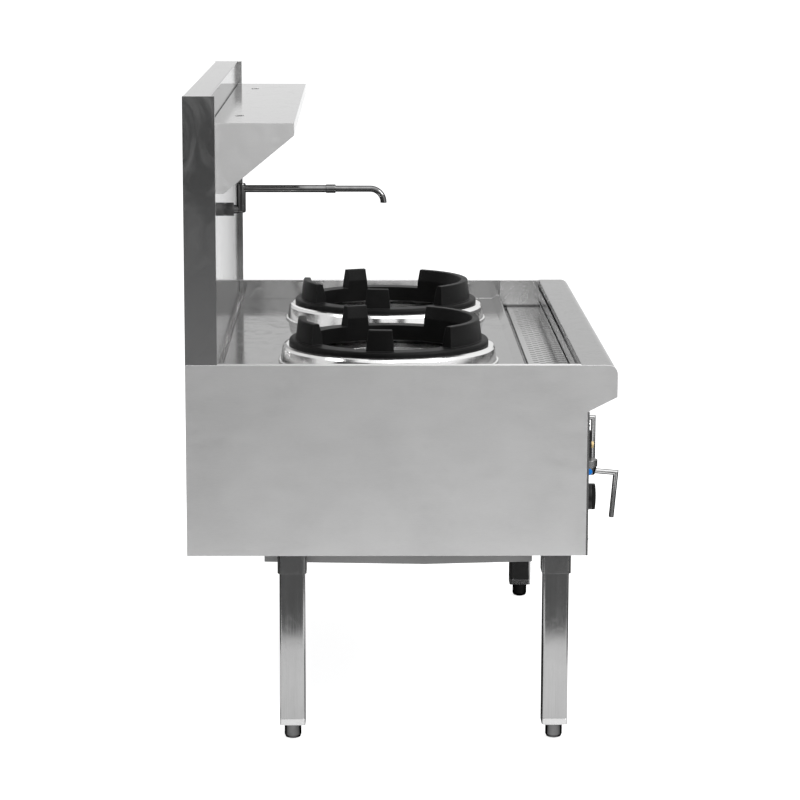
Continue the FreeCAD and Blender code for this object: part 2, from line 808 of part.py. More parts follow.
def lever(x, droop):
    """Hub that turns on the valve spindle, with a bent rod that hangs in front of it."""
    top = valve_head_z - seam
    hub = turned([(0, top - hub_height), (hub_foot_radius, top - hub_height, 2), (hub_radius, top - hub_band),
                  (hub_radius, top), (0, top)], V(x, lever_y, 0))
    pivot = V(x, lever_y, arm_height)
    corner = pivot - V(0, rod_reach, 0)
    root = pivot - V(0, 2 * spindle_radius, 0)
    bar = pipe([root, corner, corner - V(0, 0, rod_drop)], rod_radius, rod_bend)
    bar.rotate(pivot, V(1, 0, 0), droop)
    index_face = x - hub_radius - index_proud
    index = rod(index_radius, V(index_face, lever_y, arm_height),
                V(index_face + index_length, lever_y, arm_height))
    bore = rod(spindle_radius + turn_clearance, V(x, lever_y, valve_head_z - spindle_reach - seam),
               V(x, lever_y, top))
    return hub.fuse(bar).cut([bore, index]), index


def pilot_valve(x):
    """Pilot tap behind the panel, its spindle through the panel, its branch to the manifold."""
    body = rod(pilot_body_radius, V(x, fascia_back, knob_height),
               V(x, fascia_back + pilot_body_depth, knob_height))
    spindle = rod(spindle_radius, V(x, fascia_face - knob_bore_depth, knob_height),
                  V(x, fascia_back, knob_height))
    return body.fuse([spindle, branch(x, knob_height)])


def pilot_knob(x):
    """Rounded knob with a finger bar and a blind bore for its spindle."""
    grip = turned_forward([(0, knob_gap), (knob_radius, knob_gap),
                           (knob_radius, knob_length, knob_edge_round), (0, knob_length)],
                          V(x, fascia_face, knob_height))
    tip_y = fascia_face - knob_length
    half = knob_bar_width / 2
    scoops = [box(x0, x1, tip_y, tip_y + knob_bar_depth, knob_height - knob_radius, knob_height + knob_radius)
              for x0, x1 in ((x - knob_radius, x - half), (x + half, x + knob_radius))]
    bore = rod(spindle_radius + turn_clearance, V(x, fascia_face, knob_height),
               V(x, fascia_face - knob_bore_depth - seam, knob_height))
    return grip.cut(scoops + [bore])


def nipple(radius, x, z):
    """Connection standing out of the back wall."""
    return rod(radius, V(x, nipple_y, z), V(x, nipple_end_y, z))


def gas_manifold():
    """Cross pipe that feeds every valve, and its run through the back wall to the inlet nipple."""
    reach = burner_xs[1] + knob_offset + manifold_overhang
    cross = rod(manifold_radius, V(-reach, manifold_y, manifold_height),
                V(reach, manifold_y, manifold_height))
    run = rod(manifold_radius, V(gas_inlet_x, manifold_y, manifold_height),
              V(gas_inlet_x, nipple_y, manifold_height))
    return cross.fuse([run, nipple(gas_inlet_radius, gas_inlet_x, manifold_height)])


def feed_pipe(x):
    """From the back of a gas valve to the foot of its burner head."""
    return mitred([V(x, fascia_back + valve_body_depth, feed_z), V(x, burner_y, feed_z),
                   V(x, burner_y, head_base_z)], feed_radius)


# ---- water ---------------------------------------------------------------------------------------
def water_valve():
    """Stop cock: body behind the panel, boss through it, spindle out to the handle."""
    half = cock_width / 2
    body = box(water_x - half, water_x + half, fascia_back, fascia_back + cock_depth,
               water_height - half, water_height + half)
    boss_y = fascia_face - cock_boss_proud
    boss = rod(cock_boss_radius, V(water_x, boss_y, water_height), V(water_x, fascia_back, water_height))
    spindle = rod(spindle_radius, V(water_x, handle_y - handle_thickness - nut_height, water_height),
                  V(water_x, boss_y, water_height))
    return body.fuse([boss, spindle])


def water_handle():
    """Two-winged handle, upright when shut, on a boss that turns on the spindle."""
    front = handle_y - handle_thickness
    back = fascia_face - cock_boss_proud - seam
    wings = prism_y(rectangle(water_x, water_height, handle_width, handle_length, handle_corner),
                    front, handle_y)
    boss = rod(handle_boss_radius, V(water_x, front, water_height), V(water_x, back, water_height))
    bore = rod(spindle_radius + turn_clearance, V(water_x, front, water_height),
               V(water_x, back, water_height))
    return wings.fuse(boss).cut(bore)


def water_handle_nut():
    """Hexagon nut that keeps the handle on."""
    back = V(water_x, handle_y - handle_thickness, water_height)
    front = back - V(0, nut_height, 0)
    return hexagon(nut_flats, front, back).cut(rod(spindle_radius + turn_clearance, front, back))


def supply_pipe():
    """Water inlet nipple at the back and its run to the stop cock."""
    turn_y = back_y - water_turn_inset
    run = mitred([V(water_inlet_x, nipple_y, water_height), V(water_inlet_x, turn_y, water_height),
                  V(water_x, turn_y, water_height), V(water_x, fascia_back + cock_depth, water_height)],
                 water_pipe_radius)
    return run.fuse(nipple(water_inlet_radius, water_inlet_x, water_height))


def tap_pipe():
    """From the stop cock to the back, up inside the splashback and out to the tap."""
    cock_y = fascia_back + cock_depth / 2
    clear_x = water_x - tap_pipe_offset
    return mitred([V(water_x - cock_width / 2, cock_y, water_height), V(clear_x, cock_y, water_height),
                   V(clear_x, riser_y, water_height), V(clear_x, riser_y, tap_height),
                   V(tap_x, riser_y, tap_height), V(tap_x, splash_y, tap_height)], water_pipe_radius)


def drain_pipe():
    """From the hole in the gutter down, then out through the back."""
    route = [V(drain_x, drain_y, gutter_floor_z - thin_sheet), V(drain_x, drain_y, drain_z),
             V(drain_x, nipple_end_y, drain_z)]
    tube = mitred(route, drain_radius).fuse(nipple(drain_nozzle_radius, drain_x, drain_z))
    return tube.cut(mitred(route, drain_radius - drain_wall))


def tap_point(reach):
    """Point on the axis of the tap's union, at a distance from the splashback."""
    return V(tap_x, splash_y - reach, tap_height)


def tap_union():
    """Two union nuts against the splashback."""
    wall_nut = hexagon(union_flats, tap_point(0), tap_point(union_nut_length))
    outer_nut = hexagon(union_flats, tap_point(union_nut_length + union_nut_gap), tap_point(union_length))
    return wall_nut.fuse([outer_nut, rod(union_core_radius, tap_point(0), tap_point(union_length))])


def tap_body():
    """Elbow out of the union, with the stem that the spout turns on."""
    arm = Part.makeCone(arm_root_radius, arm_radius, tap_stand_off - union_length, tap_point(union_length),
                        V(0, -1, 0))
    base = tap_height - arm_radius
    shoulder = tap_height + riser_base_rise
    riser = turned([(0, base), (riser_radius, base, arm_radius / 2), (riser_radius, shoulder),
                    (stem_radius, shoulder), (stem_radius, sleeve_top_z + seam), (0, sleeve_top_z + seam)],
                   V(tap_x, tap_y, 0))
    return arm.fuse(riser)


def tap_cap():
    """Cap that keeps the spout on its stem."""
    base = sleeve_top_z + seam
    return turned([(0, base), (riser_radius, base), (riser_radius, base + cap_height, cap_round),
                   (0, base + cap_height)], V(tap_x, tap_y, 0))


def spout_arm():
    """Sleeve that turns on the stem, with the thicker part of the spout."""
    bore = stem_radius + turn_clearance
    sleeve = turned([(bore, sleeve_base_z), (riser_radius, sleeve_base_z), (riser_radius, sleeve_top_z),
                     (bore, sleeve_top_z)], V(tap_x, tap_y, 0))
    arm = rod(spout_radius, V(tap_x, tap_y - stem_radius, spout_z), V(tap_x, tap_y - spout_run, spout_z))
    room = rod(bore, V(tap_x, tap_y, sleeve_base_z), V(tap_x, tap_y, sleeve_top_z))
    headroom = box(tap_x - spout_radius, tap_x + spout_radius, tap_y - riser_radius - seam, tap_y,
                   sleeve_top_z, splash_top)
    return sleeve.fuse(arm).cut([room, headroom])


def spout_tip():
    """Collar nut and the thinner tube, bent down at its mouth."""
    start = tap_y - spout_run
    edge = (spout_collar_radius - spout_radius) / 2
    collar = turned_forward([(0, 0), (spout_collar_radius, 0, edge),
                             (spout_collar_radius, spout_collar_length, edge), (0, spout_collar_length)],
                            V(tap_x, start, spout_z))
    end = V(tap_x, tap_y - spout_reach, spout_z)
    mouth = end - V(0, 0, spout_drop)
    tube = pipe([V(tap_x, start - spout_collar_length, spout_z), end, mouth], spout_tip_radius, spout_bend)
    bore = rod(spout_tip_radius - spout_tip_wall, mouth, mouth + V(0, 0, spout_drop - spout_bend))
    return collar.fuse(tube).cut(bore)


# ---- stand ---------------------------------------------------------------------------------------
def leg_socket(x, y):
    """Square sleeve under the cabinet, closed at the top."""
    mouth_z = panel_base - socket_drop
    inner = leg_size + 2 * seam
    outer = prism_z(rectangle(x, y, socket_size, socket_size, leg_corner + socket_wall), mouth_z, panel_base)
    return outer.cut(prism_z(rectangle(x, y, inner, inner, leg_corner + seam), mouth_z, leg_top_z))


def leg(x, y):
    """Square tube with rounded corners."""
    foot_z = foot_height + plug_band
    bore = leg_size - 2 * leg_wall
    tube = prism_z(rectangle(x, y, leg_size, leg_size, leg_corner), foot_z, leg_top_z)
    return tube.cut(prism_z(rectangle(x, y, bore, bore, leg_corner - leg_wall), foot_z, leg_top_z))


def leg_plug(x, y):
    """End plug: a band flush with the leg, a spigot inside it, bored for the foot's stem."""
    band_top = foot_height + plug_band
    spigot = leg_size - 2 * leg_wall - 2 * seam
    plug = prism_z(rectangle(x, y, leg_size, leg_size, leg_corner), foot_height, band_top)
    inside = prism_z(rectangle(x, y, spigot, spigot, leg_corner - leg_wall),
                     foot_height, band_top + plug_spigot)
    bore = rod(foot_stem_radius + turn_clearance, V(x, y, foot_height), V(x, y, band_top + plug_spigot))
    return plug.fuse(inside).cut(bore)


def foot(x, y):
    """Levelling foot: rounded sole and a stem that runs in the plug."""
    top = foot_height - seam
    return turned([(0, 0), (foot_radius, 0, foot_round), (foot_radius, top), (foot_stem_radius, top),
                   (foot_stem_radius, top + foot_stem_length), (0, top + foot_stem_length)], V(x, y, 0))


def side_rail():
    """Left-hand angle iron, lying on the panel's foot flange over the sockets."""
    x = -leg_x - angle_size / 2
    near = fascia_y + sheet
    far = back_y - floor_flange - seam
    flat = box(x, x + angle_size, near, far, floor_top, floor_top + angle_wall)
    return flat.fuse(box(x, x + angle_wall, near, far, floor_top, floor_top + angle_size))


def cross_rail(y):
    """Angle iron between the side rails."""
    reach = leg_x - angle_size / 2
    near = y - angle_size / 2
    flat = box(-reach, reach, near, near + angle_size, floor_top, floor_top + angle_wall)
    return flat.fuse(box(-reach, reach, near, near + angle_wall, floor_top, floor_top + angle_size))


def under_pan():
    """Shallow closed tray with a slight valley, its flanges under the rails."""
    valley = pan_base_z - pan_valley
    outer = prism_x([(pan_front_y, floor_top), (pan_front_y, pan_base_z), (pan_valley_y, valley),
                     (pan_back_y, pan_base_z), (pan_back_y, floor_top)], -pan_reach, pan_reach)
    front = pan_front_y + thin_sheet
    back = pan_back_y - thin_sheet
    hollow = prism_x([(front, floor_top), (front, pan_base_z + thin_sheet),
                      (pan_valley_y, valley + thin_sheet), (back, pan_base_z + thin_sheet),
                      (back, floor_top)], -pan_reach + thin_sheet, pan_reach - thin_sheet)
    flange = box(-pan_reach - pan_flange, pan_reach + pan_flange, pan_front_y - pan_flange,
                 pan_back_y + pan_flange, panel_base, floor_top)
    clear = socket_size + 2 * seam
    corners = [prism_z(rectangle(x, y, clear, clear, 0), panel_base, floor_top) for x, y, _ in leg_places]
    return outer.fuse(flange).cut([hollow] + corners)


# ---- the whole range -----------------------------------------------------------------------------
def build():
    sides = (("side_panel", side_panel()), ("splash_end", splash_end()), ("shelf_end", shelf_end()))
    for name, piece in sides:
        left, right = mirror_pair(piece)
        save(name + "_left", left)
        save(name + "_right", right)
    save("back_panel", back_panel())
    save("front_rail", front_rail())
    save("control_panel", control_panel())
    save("panel_screws", *panel_screws())
    save("deck", deck())
    save("gutter_trough", gutter_trough())
    save("strainer_plate", strainer_plate())
    save("splash_panel", splash_panel())
    save("shelf_top", shelf_top())
    for x, name, droop in zip(burner_xs, ("left", "right"), (left_rod_droop, 0)):
        save("burner_collar_" + name, burner_collar(x))
        save("wok_ring_" + name, wok_ring(x))
        save("combustion_well_" + name, combustion_well(x))
        save("burner_head_" + name, burner_head(x))
        save("lever_valve_" + name, lever_valve(x))
        handle, index = lever(x, droop)
        save("lever_" + name, handle)
        save("lever_index_" + name, index)
        save("pilot_knob_" + name, pilot_knob(x - knob_offset))
    save("burner_jets", *[jet for x in burner_xs for jet in burner_jets(x)])
    save("pilot_burners", *[pilot_burner(x) for x in burner_xs])
    save("pilot_valves", *[pilot_valve(x) for x in knob_xs])
    save("feed_pipes", *[feed_pipe(x) for x in burner_xs])
    save("gas_manifold", gas_manifold())
    save("water_valve", water_valve())
    save("water_handle", water_handle())
    save("water_handle_nut", water_handle_nut())
    save("water_pipes", supply_pipe(), tap_pipe())
    save("drain_pipe", drain_pipe())
    save("tap_union", tap_union())
    save("tap_body", tap_body())
    save("tap_cap", tap_cap())
    save("spout_arm", spout_arm())
    save("spout_tip", spout_tip())
    for x, y, name in leg_places:
        save("leg_" + name, leg(x, y))
        save("foot_" + name, foot(x, y))
    save("leg_sockets", *[leg_socket(x, y) for x, y, _ in leg_places])
    save("leg_plugs", *[leg_plug(x, y) for x, y, _ in leg_places])
    save("base_rails", *mirror_pair(side_rail()), cross_rail(leg_front_y), cross_rail(leg_back_left_y))
    save("under_pan", under_pan())


os.makedirs("parts", exist_ok=True)
build()
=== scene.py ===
"""Two-burner gas wok range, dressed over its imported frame. Metres; +X right, -Y front, +Z up."""
import json
import math

import bmesh
import bpy
from mathutils import Matrix, Vector


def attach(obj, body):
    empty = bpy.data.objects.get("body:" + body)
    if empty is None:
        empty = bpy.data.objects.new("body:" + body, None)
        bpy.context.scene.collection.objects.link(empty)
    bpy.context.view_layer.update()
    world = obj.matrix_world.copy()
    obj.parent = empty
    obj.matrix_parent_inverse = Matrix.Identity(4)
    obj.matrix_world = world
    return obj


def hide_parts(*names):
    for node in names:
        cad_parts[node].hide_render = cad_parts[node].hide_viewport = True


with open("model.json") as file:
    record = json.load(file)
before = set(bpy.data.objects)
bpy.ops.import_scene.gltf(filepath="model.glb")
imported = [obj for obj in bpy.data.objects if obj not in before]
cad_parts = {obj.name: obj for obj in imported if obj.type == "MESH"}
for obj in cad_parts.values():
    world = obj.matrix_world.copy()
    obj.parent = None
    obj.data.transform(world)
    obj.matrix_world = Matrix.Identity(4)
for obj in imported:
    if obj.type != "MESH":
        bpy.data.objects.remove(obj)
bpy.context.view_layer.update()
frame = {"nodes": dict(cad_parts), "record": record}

nodes = frame["nodes"]


# ---- small helpers ---------------------------------------------------------------------------
def object_from(name, sheet):
    """Object in the scene, made from a bmesh that is then freed."""
    mesh = bpy.data.meshes.new(name)
    sheet.to_mesh(mesh)
    sheet.free()
    piece = bpy.data.objects.new(name, mesh)
    bpy.context.scene.collection.objects.link(piece)
    return piece


def add(tree, kind, **settings):
    node = tree.nodes.new(kind)
    for key, value in settings.items():
        setattr(node, key, value)
    return node


def feed(tree, socket, value):
    """Puts a number, a vector or the output of another node into one socket."""
    if isinstance(value, bpy.types.NodeSocket):
        tree.links.new(value, socket)
    else:
        socket.default_value = value


def math_of(tree, operation, first, second):
    node = add(tree, "ShaderNodeMath", operation=operation)
    feed(tree, node.inputs[0], first)
    feed(tree, node.inputs[1], second)
    return node.outputs[0]


def times(tree, first, second):
    return math_of(tree, "MULTIPLY", first, second)


def plus(tree, first, second):
    return math_of(tree, "ADD", first, second)


def minus(tree, first, second):
    return math_of(tree, "SUBTRACT", first, second)


# ---- camera, floor and light -----------------------------------------------------------------
def photo_camera():
    """Camera fitted to the photograph's straight edges and cast rings; it looks along +X."""
    position = (-5.52977, 0.08464, 1.54500)
    focal_length = 121.807
    yaw = -0.01653
    pitch = 0.17702
    roll = 0.00251
    forward = Vector((math.cos(pitch) * math.cos(yaw), math.cos(pitch) * math.sin(yaw), -math.sin(pitch)))
    level = Vector((math.sin(yaw), -math.cos(yaw), 0))
    upward = level.cross(forward)
    right = level * math.cos(roll) + upward * math.sin(roll)
    top = upward * math.cos(roll) - level * math.sin(roll)
    lens = bpy.data.cameras.new("camera")
    lens.lens = focal_length
    lens.sensor_width = 36
    lens.clip_end = 200
    camera = bpy.data.objects.new("camera", lens)
    camera.matrix_world = Matrix((right, top, -forward)).transposed().to_4x4()
    camera.location = position
    bpy.context.scene.collection.objects.link(camera)
    bpy.context.scene.camera = camera


def shining(tree, kind, colour, strength):
    """Background or emission of one colour."""
    node = add(tree, kind)
    node.inputs["Color"].default_value = (*colour, 1)
    node.inputs["Strength"].default_value = strength
    return node.outputs[0]


def lit_or_seen(tree, lit, seen, output_kind):
    """One shader for the light that falls, the other for camera, mirror and glass rays."""
    path = add(tree, "ShaderNodeLightPath")
    eye_or_mirror = math_of(tree, "MAXIMUM", path.outputs["Is Camera Ray"], path.outputs["Is Glossy Ray"])
    any_of_them = math_of(tree, "MAXIMUM", eye_or_mirror, path.outputs["Is Transmission Ray"])
    mix = add(tree, "ShaderNodeMixShader")
    feed(tree, mix.inputs["Fac"], any_of_them)
    feed(tree, mix.inputs[1], lit)
    feed(tree, mix.inputs[2], seen)
    feed(tree, add(tree, output_kind).inputs["Surface"], mix.outputs[0])


def studio_world():
    """White to the eye and in mirrors, dimmer and faintly cool as light."""
    bpy.context.scene.view_settings.view_transform = "Standard"
    world = bpy.data.worlds.new("studio")
    bpy.context.scene.world = world
    world.use_nodes = True
    tree = world.node_tree
    tree.nodes.clear()
    soft = shining(tree, "ShaderNodeBackground", (0.98, 0.99, 1.0), 0.62)
    white = shining(tree, "ShaderNodeBackground", (1, 1, 1), 1)
    lit_or_seen(tree, soft, white, "ShaderNodeOutputWorld")


def studio_floor():
    """Pale floor that keeps the shadow; it reads as white to the camera and in the metal."""
    reach = 90
    under_feet = 0.0004
    paper_tone = 0.54
    glow_strength = 0.84
    sheet = bmesh.new()
    bmesh.ops.create_grid(sheet, x_segments=1, y_segments=1, size=reach)
    bmesh.ops.translate(sheet, verts=sheet.verts, vec=(0, 0, -under_feet))
    floor = object_from("floor", sheet)
    material = bpy.data.materials.new("floor_white")
    material.use_nodes = True
    tree = material.node_tree
    tree.nodes.clear()
    paper = add(tree, "ShaderNodeBsdfDiffuse")
    paper.inputs["Color"].default_value = (paper_tone, paper_tone, paper_tone, 1)
    both = add(tree, "ShaderNodeAddShader")
    feed(tree, both.inputs[0], paper.outputs[0])
    feed(tree, both.inputs[1], shining(tree, "ShaderNodeEmission", (1, 1, 1), glow_strength))
    lit_or_seen(tree, paper.outputs[0], both.outputs[0], "ShaderNodeOutputMaterial")
    floor.data.materials.append(material)


def softbox(name, spot, target, size, watts):
    lamp = bpy.data.lights.new(name, "AREA")
    lamp.shape = "RECTANGLE"
    lamp.size, lamp.size_y = size
    lamp.energy = watts
    holder = bpy.data.objects.new(name, lamp)
    holder.location = spot
    holder.rotation_euler = (Vector(target) - Vector(spot)).to_track_quat("-Z", "Y").to_euler()
    bpy.context.scene.collection.objects.link(holder)


def dark_board(name, low, high, tone):
    """Thin studio board between two corners, seen only in the polished metal."""
    sheet = bmesh.new()
    bmesh.ops.create_cube(sheet, size=1)
    bmesh.ops.scale(sheet, verts=sheet.verts, vec=[b - a for a, b in zip(low, high)])
    bmesh.ops.translate(sheet, verts=sheet.verts, vec=[(a + b) / 2 for a, b in zip(low, high)])
    board = object_from(name, sheet)
    board.visible_camera = False
    board.visible_diffuse = False
    board.visible_shadow = False
    material = bpy.data.materials.new(name)
    material.use_nodes = True
    shader = material.node_tree.nodes["Principled BSDF"]
    shader.inputs["Base Color"].default_value = (tone, tone, tone, 1)
    shader.inputs["Roughness"].default_value = 0.9
    board.data.materials.append(material)


# ---- shared surface effects ------------------------------------------------------------------
number = "NodeSocketFloat"
vector = "NodeSocketVector"


def effect(name, inputs, outputs):
    """Empty shader group with named sockets, what it is given and what it results in."""
    group = bpy.data.node_groups.new(name, "ShaderNodeTree")
    for label, kind, value in inputs:
        socket = group.interface.new_socket(name=label, in_out="INPUT", socket_type=kind)
        if value is not None:
            socket.default_value = value
    for label, kind in outputs:
        group.interface.new_socket(name=label, in_out="OUTPUT", socket_type=kind)
    return group, group.nodes.new("NodeGroupInput").outputs, group.nodes.new("NodeGroupOutput").inputs


def noise(tree, where, scale, detail, roughness=0.5, distortion=0.0):
    node = add(tree, "ShaderNodeTexNoise")
    node.inputs["Detail"].default_value = detail
    node.inputs["Roughness"].default_value = roughness
    node.inputs["Distortion"].default_value = distortion
    feed(tree, node.inputs["Scale"], scale)
    feed(tree, node.inputs["Vector"], where)
    return node.outputs["Fac"]


def remap(tree, value, low, high, to_low, to_high):
    node = add(tree, "ShaderNodeMapRange")
    feed(tree, node.inputs["Value"], value)
    for label, bound in (("From Min", low), ("From Max", high), ("To Min", to_low), ("To Max", to_high)):
        feed(tree, node.inputs[label], bound)
    return node.outputs["Result"]


def scaled(tree, where, factor):
    node = add(tree, "ShaderNodeVectorMath", operation="SCALE")
    feed(tree, node.inputs[0], where)
    feed(tree, node.inputs["Scale"], factor)
    return node.outputs[0]


def make_brushing():
    """Long scratches along one direction, in two widths."""
    coarse_scale = 0.22
    group, given, result = effect(
        "brushing",
        [("Vector", vector, None), ("Grain", vector, (20, 900, 900)), ("Coarse Share", number, 0.35)],
        [("Scratch", number)])
    along = add(group, "ShaderNodeVectorMath", operation="MULTIPLY")
    feed(group, along.inputs[0], given["Vector"])
    feed(group, along.inputs[1], given["Grain"])
    wider = scaled(group, along.outputs[0], coarse_scale)
    mix = add(group, "ShaderNodeMix")
    feed(group, mix.inputs[0], given["Coarse Share"])
    feed(group, mix.inputs[2], noise(group, along.outputs[0], scale=1, detail=3, roughness=0.65))
    feed(group, mix.inputs[3], noise(group, wider, scale=1, detail=4, roughness=0.6))
    feed(group, result["Scratch"], mix.outputs[0])
    return group


def make_clouding():
    """Slow drift of tone, as rolled and wiped sheet has."""
    group, given, result = effect(
        "clouding",
        [("Vector", vector, None), ("Size", number, 4.0), ("Contrast", number, 0.2)],
        [("Cloud", number)])
    field = noise(group, given["Vector"], given["Size"], detail=4, roughness=0.55, distortion=0.6)
    high = plus(group, 0.5, given["Contrast"])
    low = minus(group, 0.5, given["Contrast"])
    feed(group, result["Cloud"], remap(group, field, low, high, 0.0, 1.0))
    return group


def make_soft_edges():
    """Edges rounded in the shading, with a mask of where they are."""
    group, given, result = effect(
        "soft_edges",
        [("Radius", number, 0.001), ("Spread", number, 6.0)],
        [("Normal", vector), ("Edge", number)])
    rounded = add(group, "ShaderNodeBevel", samples=4)
    feed(group, rounded.inputs["Radius"], given["Radius"])
    facing = add(group, "ShaderNodeVectorMath", operation="DOT_PRODUCT")
    feed(group, facing.inputs[0], rounded.outputs[0])
    feed(group, facing.inputs[1], add(group, "ShaderNodeNewGeometry").outputs["Normal"])
    mask = add(group, "ShaderNodeMath", operation="MULTIPLY", use_clamp=True)
    feed(group, mask.inputs[0], minus(group, 1.0, facing.outputs["Value"]))
    feed(group, mask.inputs[1], given["Spread"])
    feed(group, result["Normal"], rounded.outputs[0])
    feed(group, result["Edge"], mask.outputs[0])
    return group


def make_cast_skin():
    """Sand-cast skin: fine grain over lumps, with scattered pits."""
    lump_scale = 0.08
    pit_scale = 0.3
    pit_floor = 0.08
    pit_rim = 0.22
    grain_height = 0.6
    pit_depth = 0.5
    group, given, result = effect(
        "cast_skin",
        [("Vector", vector, None), ("Grain", number, 700.0)],
        [("Height", number), ("Pit", number)])
    grain = noise(group, given["Vector"], given["Grain"], detail=3, roughness=0.6)
    lumps = noise(group, given["Vector"], times(group, given["Grain"], lump_scale), detail=3)
    pits = add(group, "ShaderNodeTexVoronoi")
    feed(group, pits.inputs["Vector"], given["Vector"])
    feed(group, pits.inputs["Scale"], times(group, given["Grain"], pit_scale))
    pit = remap(group, pits.outputs["Distance"], pit_floor, pit_rim, 1.0, 0.0)
    rough = plus(group, times(group, grain, grain_height), lumps)
    feed(group, result["Height"], minus(group, rough, times(group, pit, pit_depth)))
    feed(group, result["Pit"], pit)
    return group


def make_smears():
    """Wiping marks: arcs of drying water and fingers."""
    bend = 9.0
    faintest = 0.46
    strongest = 0.72
    group, given, result = effect(
        "smears",
        [("Vector", vector, None), ("Size", number, 3.0)],
        [("Smear", number)])
    bent = noise(group, given["Vector"], given["Size"], detail=2, distortion=0.3)
    sweep = scaled(group, given["Vector"], times(group, bent, bend))
    field = noise(group, sweep, given["Size"], detail=5, roughness=0.62, distortion=1.1)
    feed(group, result["Smear"], remap(group, field, faintest, strongest, 0.0, 1.0))
    return group


brushing = make_brushing()
clouding = make_clouding()
soft_edges = make_soft_edges()
cast_skin = make_cast_skin()
smears = make_smears()


# ---- makers of finishes ----------------------------------------------------------------------
def use(tree, group, where=None, **values):
    """Outputs of a shared effect, with its settings on its own sockets."""
    node = add(tree, "ShaderNodeGroup", node_tree=group)
    if where is not None:
        feed(tree, node.inputs["Vector"], where)
    for label, value in values.items():
        node.inputs[label].default_value = value
    return node.outputs


def tone_between(tree, factor, first, second):
    mix = add(tree, "ShaderNodeMix", data_type="RGBA")
    feed(tree, mix.inputs["Factor"], factor)
    for socket, value in ((mix.inputs[6], first), (mix.inputs[7], second)):
        feed(tree, socket, (*value, 1) if isinstance(value, tuple) else value)
    return mix.outputs[2]


def new_finish(name):
    material = bpy.data.materials.new(name)
    material.use_nodes = True
    tree = material.node_tree
    return material, tree, tree.nodes["Principled BSDF"], add(tree, "ShaderNodeTexCoord").outputs["Object"]


def relief(tree, shader, height, edges, depth):
    """Bump of one depth, laid over the softened edges."""
    bump = add(tree, "ShaderNodeBump")
    bump.inputs["Distance"].default_value = depth
    feed(tree, bump.inputs["Height"], height)
    feed(tree, bump.inputs["Normal"], edges["Normal"])
    feed(tree, shader.inputs["Normal"], bump.outputs[0])


def grey(value, warmth=0.0):
    return (value * (1 + warmth), value, value * (1 - warmth))


def lighter(colour, gain, lift, most):
    return tuple(min(part * gain + lift, most) for part in colour)


steel_warmth = 0.002
brightest_edge_highlight = 0.95
dull_scratch = 0.3
deep_scratch = 0.7
# Share of the dark tone left where the trough under the strainer is painted as shade.
trough_shade_share = 0.08
blend = 0.003


def sheet_steel(name, dark, light, grain, roughness, scratch_depth, cloud_size, edge_radius=0.0009,
                smear=0.0, drift_share=0.35, edge_gain=1.18, slant=1.0, unshaded_above=None):
    """Stainless sheet: brushed grain, slow clouding, folded edges and wiping marks.

    slant dims what it mirrors at low angles; below the given height it is painted nearly black, a painted
    shade for the trough under the strainer.
    """
    material, tree, shader, where = new_finish(name)
    shader.inputs["Metallic"].default_value = 1.0
    shader.inputs["Specular Tint"].default_value = (slant, slant, slant, 1)
    scratch = use(tree, brushing, where, Grain=grain)["Scratch"]
    drift = use(tree, clouding, where, Size=cloud_size, Contrast=0.2)["Cloud"]
    edges = use(tree, soft_edges, Radius=edge_radius, Spread=5.0)
    marks = use(tree, smears, where, Size=cloud_size * 0.7)["Smear"]
    pale = grey(light, steel_warmth)
    base = tone_between(tree, scratch, grey(dark, steel_warmth), pale)
    drifted = tone_between(tree, times(tree, drift, drift_share), base, pale)
    # Painted shade: below the given height the sheet is painted nearly black, standing in for the shade in
    # the trough under the strainer.
    if unshaded_above is not None:
        level = add(tree, "ShaderNodeSeparateXYZ")
        feed(tree, level.inputs[0], where)
        unshaded = remap(tree, level.outputs["Z"], unshaded_above - blend, unshaded_above + blend, 0.0, 1.0)
        drifted = tone_between(tree, unshaded, grey(dark * trough_shade_share), drifted)
    # Painted highlight and painted shade on the folded edges: lighter where edge_gain is above 1, darker
    # where it is below 1.
    edge_painted_tone = tone_between(tree, edges["Edge"], drifted, grey(min(light * edge_gain, brightest_edge_highlight)))
    feed(tree, shader.inputs["Base Color"], edge_painted_tone)
    smooth, rough = roughness
    gloss = remap(tree, scratch, dull_scratch, deep_scratch, smooth, rough)
    hazed = plus(tree, gloss, times(tree, marks, smear))
    feed(tree, shader.inputs["Roughness"], plus(tree, hazed, times(tree, drift, (rough - smooth) * 0.5)))
    relief(tree, shader, scratch, edges, scratch_depth)
    return material


def cast_iron(name, dark, light, roughness, grain, depth, metallic=0.2, edge_tone=0.16, gloss_level=0.5):
    """Black cast iron: sand skin, pits, edges painted a little lighter as a painted highlight."""
    material, tree, shader, where = new_finish(name)
    shader.inputs["Metallic"].default_value = metallic
    shader.inputs["Specular IOR Level"].default_value = gloss_level
    skin = use(tree, cast_skin, where, Grain=grain)
    drift = use(tree, clouding, where, Size=14.0, Contrast=0.25)["Cloud"]
    edges = use(tree, soft_edges, Radius=0.0022, Spread=3.0)
    base = tone_between(tree, drift, grey(dark), grey(light))
    pitted = tone_between(tree, times(tree, skin["Pit"], 0.6), base, grey(dark * 0.5))
    # Painted highlight: edges painted lighter towards edge_tone.
    edges_highlighted = tone_between(tree, times(tree, edges["Edge"], 0.8), pitted, grey(edge_tone))
    feed(tree, shader.inputs["Base Color"], edges_highlighted)
    feed(tree, shader.inputs["Roughness"], remap(tree, drift, 0.0, 1.0, *roughness))
    relief(tree, shader, skin["Height"], edges, depth)
    return material


